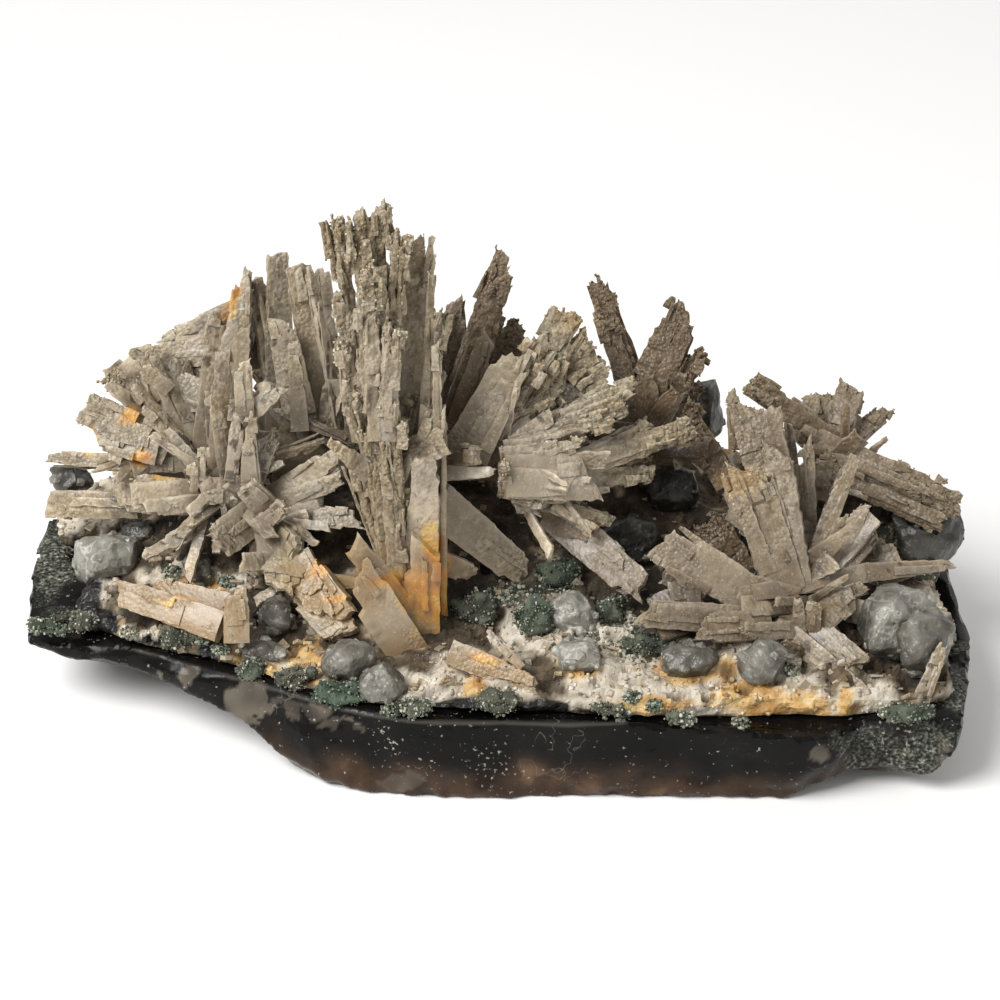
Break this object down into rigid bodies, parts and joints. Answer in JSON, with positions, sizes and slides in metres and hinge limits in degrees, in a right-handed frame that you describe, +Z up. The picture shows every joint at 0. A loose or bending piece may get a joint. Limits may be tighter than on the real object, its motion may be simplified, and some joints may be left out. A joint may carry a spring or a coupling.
{
  "type": "quartz pseudomorph specimen",
  "caption": "Mineral specimen: sprays of cream bladed quartz pseudomorphs standing on a dark smoky agate slab, with grey quartz lumps and green mossy tufts.",
  "frame": {"origin": "under the middle of the specimen's box, on the plane that the slab rests on", "axes": "+X along the slab to the right of the show side, -Y towards the show side, +Z up"},
  "size_m": [0.1892, 0.0964, 0.1049],
  "materials": {
    "smoky_agate": "glossy conchoidal break, dark smoky agate, honey brown where thin",
    "stained_crust": "matt porous crust, cream with orange iron stain",
    "bladed_quartz": "fine drusy sparkle on striated cream blades, brown in the hollows",
    "grey_quartz": "glassy to waxy, translucent blue-grey",
    "celadonite": "matt mossy granular green"
  },
  "bodies": {
    "root": {"agate_slab": "smoky_agate", "limonite_crust": "stained_crust", "rosette_left": "bladed_quartz", "blade_column": "bladed_quartz", "blade_fan_middle": "bladed_quartz", "blade_plate_low": "bladed_quartz", "blades_back_left": "bladed_quartz", "blades_back_middle": "bladed_quartz", "blades_back_right": "bladed_quartz", "blade_spray_right": "bladed_quartz", "blades_far_right": "bladed_quartz", "blade_dark_low": "bladed_quartz", "blade_front_peach": "bladed_quartz", "blade_front_block": "bladed_quartz", "blade_front_orange": "bladed_quartz", "blade_front_white": "bladed_quartz", "blade_right_slim": "bladed_quartz", "quartz_lump_01": "grey_quartz", "quartz_lump_02": "grey_quartz", "quartz_lump_03": "grey_quartz", "quartz_lump_04": "grey_quartz", "quartz_lump_05": "grey_quartz", "quartz_lump_06": "grey_quartz", "quartz_lump_07": "grey_quartz", "quartz_lump_08": "grey_quartz", "quartz_lump_09": "grey_quartz", "quartz_lump_10": "grey_quartz", "quartz_lump_11": "grey_quartz", "quartz_lump_12": "grey_quartz", "quartz_lump_13": "grey_quartz", "quartz_lump_14": "grey_quartz", "quartz_lump_15": "grey_quartz", "quartz_lump_16": "grey_quartz", "quartz_lump_17": "grey_quartz", "quartz_lump_18": "grey_quartz", "quartz_lump_19": "grey_quartz", "celadonite_tuft_01": "celadonite", "celadonite_tuft_02": "celadonite", "celadonite_tuft_03": "celadonite", "celadonite_tuft_04": "celadonite", "celadonite_tuft_05": "celadonite", "celadonite_tuft_06": "celadonite", "celadonite_tuft_07": "celadonite", "celadonite_tuft_08": "celadonite", "celadonite_tuft_09": "celadonite", "celadonite_tuft_10": "celadonite", "celadonite_tuft_11": "celadonite", "celadonite_tuft_12": "celadonite", "celadonite_tuft_13": "celadonite", "celadonite_tuft_14": "celadonite", "celadonite_tuft_15": "celadonite", "celadonite_tuft_16": "celadonite"}
  },
  "joints": []
}
